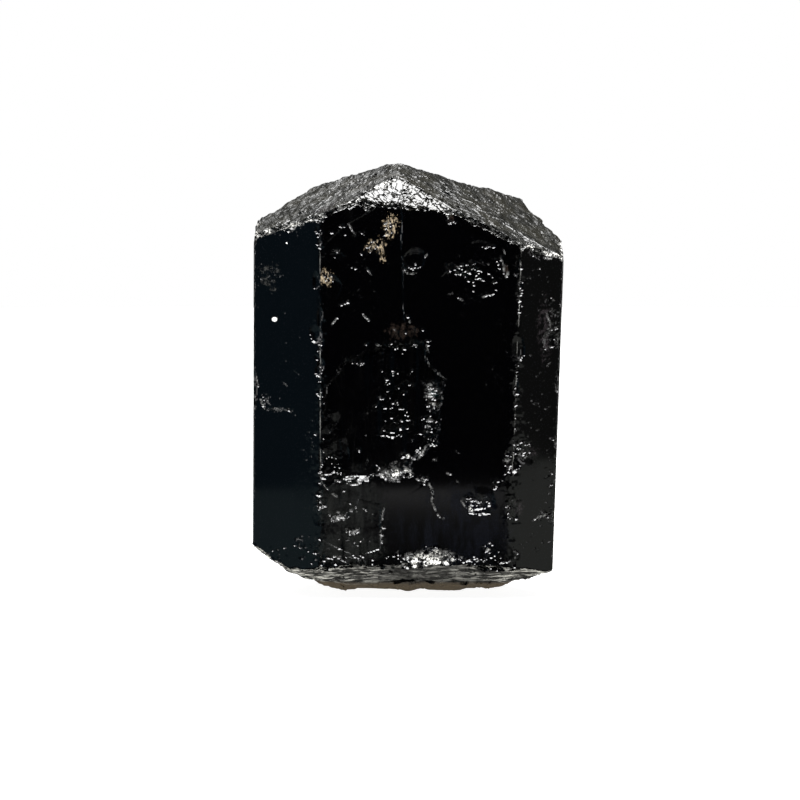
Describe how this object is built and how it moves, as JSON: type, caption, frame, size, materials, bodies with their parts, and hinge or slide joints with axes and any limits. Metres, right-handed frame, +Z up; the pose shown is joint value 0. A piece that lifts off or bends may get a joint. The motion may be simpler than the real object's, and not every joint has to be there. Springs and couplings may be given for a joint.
{
  "type": "tourmaline crystal",
  "caption": "Stubby black tourmaline (schorl) crystal with flat prism faces, a low pointed cap, a stepped and pitted front and a broken base it stands on.",
  "frame": {"origin": "centre of the bounding box's underside, on the flat patch that the crystal stands on", "axes": "+Z up along the crystal's prism axis towards the pointed cap, -Y out of the broad pitted front face, +X to the right of that face"},
  "size_m": [0.0306, 0.0248, 0.0428],
  "materials": {
    "black_tourmaline": "opaque black with a glassy lustre; etched satin on the cap and the broken base"
  },
  "bodies": {
    "root": {"tourmaline_crystal": "black_tourmaline"}
  },
  "joints": []
}
